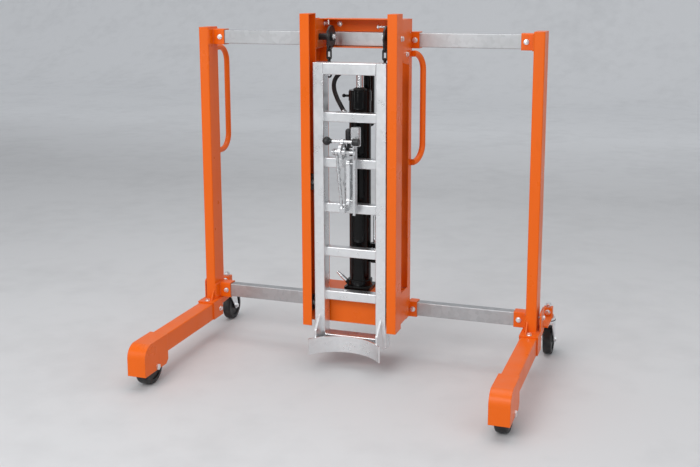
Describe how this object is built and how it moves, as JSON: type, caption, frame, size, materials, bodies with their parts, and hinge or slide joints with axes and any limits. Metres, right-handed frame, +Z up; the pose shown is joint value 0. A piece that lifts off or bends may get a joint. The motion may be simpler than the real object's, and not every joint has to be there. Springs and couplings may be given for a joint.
{
  "type": "drum lifter",
  "caption": "Wide wheeled drum lifter: orange frame and mast, hydraulic ram with hand pump, and a zinc ladder carriage with a rim clamp above a curved drum saddle.",
  "frame": {"origin": "on the floor, at the middle of the footprint", "axes": "+X to the right as seen by someone facing the clamp, +Y to the rear, away from the drum, +Z up"},
  "size_m": [1.534, 0.9794, 1.425],
  "materials": {
    "orange_paint": "gloss powder coat",
    "zinc_plate": "bright zinc with a faint spangle",
    "black_paint": "gloss",
    "black_steel": "blackened",
    "bright_rod": "polished",
    "black_plastic": "moulded",
    "wheel_nylon": "moulded",
    "hose_rubber": "satin"
  },
  "bodies": {
    "frame": {"upright_left": "orange_paint", "upright_right": "orange_paint", "leg_left": "orange_paint", "leg_right": "orange_paint", "wheel_hood_left": "orange_paint", "wheel_hood_right": "orange_paint", "top_bar": "zinc_plate", "bottom_bar": "zinc_plate", "mast_channel_left": "orange_paint", "mast_channel_right": "orange_paint", "side_plate_left": "orange_paint", "side_plate_right": "orange_paint", "head_channel": "orange_paint", "base_channel": "orange_paint", "bracket_top_left": "orange_paint", "bracket_top_right": "orange_paint", "bracket_bottom_left": "orange_paint", "bracket_bottom_right": "orange_paint", "push_handle_left": "orange_paint", "push_handle_right": "orange_paint", "chain_axles": "black_steel", "frame_bolts": "zinc_plate", "front_axles": "zinc_plate", "ram_barrel": "black_paint", "oil_tank": "black_paint", "oil_hose": "hose_rubber", "pump_block": "black_paint"},
    "carriage": {"stile_left": "zinc_plate", "stile_right": "zinc_plate", "top_rail": "zinc_plate", "bottom_rail": "zinc_plate", "rung_1": "zinc_plate", "rung_2": "zinc_plate", "rung_3": "zinc_plate", "rung_4": "zinc_plate", "rung_5": "zinc_plate", "drum_saddle": "zinc_plate", "lift_bracket": "zinc_plate", "piston_rod": "bright_rod", "clamp_channel": "zinc_plate", "clamp_link": "zinc_plate", "jaw_bar": "zinc_plate"},
    "roller_ll": {"roller_lower_left": "wheel_nylon"},
    "roller_lr": {"roller_lower_right": "wheel_nylon"},
    "roller_ul": {"roller_upper_left": "wheel_nylon"},
    "roller_ur": {"roller_upper_right": "wheel_nylon"},
    "beak": {"clamp_beak": "zinc_plate", "clamp_cross_bar": "black_plastic"},
    "lever": {"clamp_lever": "black_plastic"},
    "wheel_l": {"front_wheel_left": "wheel_nylon"},
    "wheel_r": {"front_wheel_right": "wheel_nylon"},
    "castor_l": {"castor_fork_left": "zinc_plate"},
    "castor_r": {"castor_fork_right": "zinc_plate"},
    "castor_wheel_l": {"castor_wheel_left": "wheel_nylon"},
    "castor_wheel_r": {"castor_wheel_right": "wheel_nylon"},
    "chain_l": {"chain_hanger_left": "black_steel"},
    "chain_r": {"chain_hanger_right": "black_steel"},
    "rocker": {"pump_rocker": "black_paint"},
    "plunger": {"pump_plunger": "bright_rod"},
    "valve": {"release_lever": "bright_rod"}
  },
  "joints": [
    {"name": "carriage_lift", "type": "slide", "parent": "frame", "child": "carriage", "axis": [0, 0, 1], "range_m": [0, 0.6]},
    {"name": "roller_lower_left_spin", "type": "hinge", "parent": "carriage", "child": "roller_ll", "pos_m": [-0.175, 0.00875, 0.26], "axis": [1, 0, 0], "range_deg": [-1045, 5]},
    {"name": "roller_lower_right_spin", "type": "hinge", "parent": "carriage", "child": "roller_lr", "pos_m": [0.175, 0.00875, 0.26], "axis": [1, 0, 0], "range_deg": [-1045, 5]},
    {"name": "roller_upper_left_spin", "type": "hinge", "parent": "carriage", "child": "roller_ul", "pos_m": [-0.175, 0.00875, 0.76], "axis": [1, 0, 0], "range_deg": [-5, 1045]},
    {"name": "roller_upper_right_spin", "type": "hinge", "parent": "carriage", "child": "roller_ur", "pos_m": [0.175, 0.00875, 0.76], "axis": [1, 0, 0], "range_deg": [-5, 1045]},
    {"name": "beak_pivot", "type": "hinge", "parent": "carriage", "child": "beak", "pos_m": [-0.015, -0.02875, 0.893], "axis": [1, 0, 0], "range_deg": [0, 70]},
    {"name": "clamp_lever_pivot", "type": "hinge", "parent": "carriage", "child": "lever", "pos_m": [-0.0035, -0.01075, 0.905], "axis": [1, 0, 0], "range_deg": [-35, 0]},
    {"name": "front_wheel_left_spin", "type": "hinge", "parent": "frame", "child": "wheel_l", "pos_m": [-0.7, -0.39575, 0.07], "axis": [1, 0, 0], "continuous": true},
    {"name": "front_wheel_right_spin", "type": "hinge", "parent": "frame", "child": "wheel_r", "pos_m": [0.7, -0.39575, 0.07], "axis": [1, 0, 0], "continuous": true},
    {"name": "castor_left_swivel", "type": "hinge", "parent": "frame", "child": "castor_l", "pos_m": [-0.735, 0.38725, 0.17], "axis": [0, 0, 1], "continuous": true},
    {"name": "castor_right_swivel", "type": "hinge", "parent": "frame", "child": "castor_r", "pos_m": [0.735, 0.38725, 0.17], "axis": [0, 0, 1], "continuous": true},
    {"name": "castor_left_spin", "type": "hinge", "parent": "castor_l", "child": "castor_wheel_l", "pos_m": [-0.735, 0.42725, 0.0625], "axis": [1, 0, 0], "continuous": true},
    {"name": "castor_right_spin", "type": "hinge", "parent": "castor_r", "child": "castor_wheel_r", "pos_m": [0.735, 0.42725, 0.0625], "axis": [1, 0, 0], "continuous": true},
    {"name": "chain_left_swing", "type": "hinge", "parent": "frame", "child": "chain_l", "pos_m": [-0.1155, 0.10425, 1.331], "axis": [1, 0, 0], "range_deg": [-5, 5]},
    {"name": "chain_right_swing", "type": "hinge", "parent": "frame", "child": "chain_r", "pos_m": [0.1155, 0.10425, 1.331], "axis": [1, 0, 0], "range_deg": [-5, 5]},
    {"name": "pump_rocker_pivot", "type": "hinge", "parent": "frame", "child": "rocker", "pos_m": [0.074, 0.15725, 0.606], "axis": [1, 0, 0], "range_deg": [-18, 18]},
    {"name": "pump_plunger_slide", "type": "slide", "parent": "frame", "child": "plunger", "axis": [0, 0, 1], "range_m": [-0.0122, 0.0122]},
    {"name": "release_turn", "type": "hinge", "parent": "frame", "child": "valve", "pos_m": [-0.052, 0.09925, 0.338], "axis": [-0.766, 0, 0.6428], "range_deg": [0, 90]}
  ],
  "couplings": [
    {"joint": "roller_lower_left_spin", "follows": "carriage_lift", "rad_per_m": -30.12},
    {"joint": "roller_lower_right_spin", "follows": "carriage_lift", "rad_per_m": -30.12},
    {"joint": "roller_upper_left_spin", "follows": "carriage_lift", "rad_per_m": 30.12},
    {"joint": "roller_upper_right_spin", "follows": "carriage_lift", "rad_per_m": 30.12},
    {"joint": "pump_plunger_slide", "follows": "pump_rocker_pivot", "m_per_rad": -0.038}
  ]
}
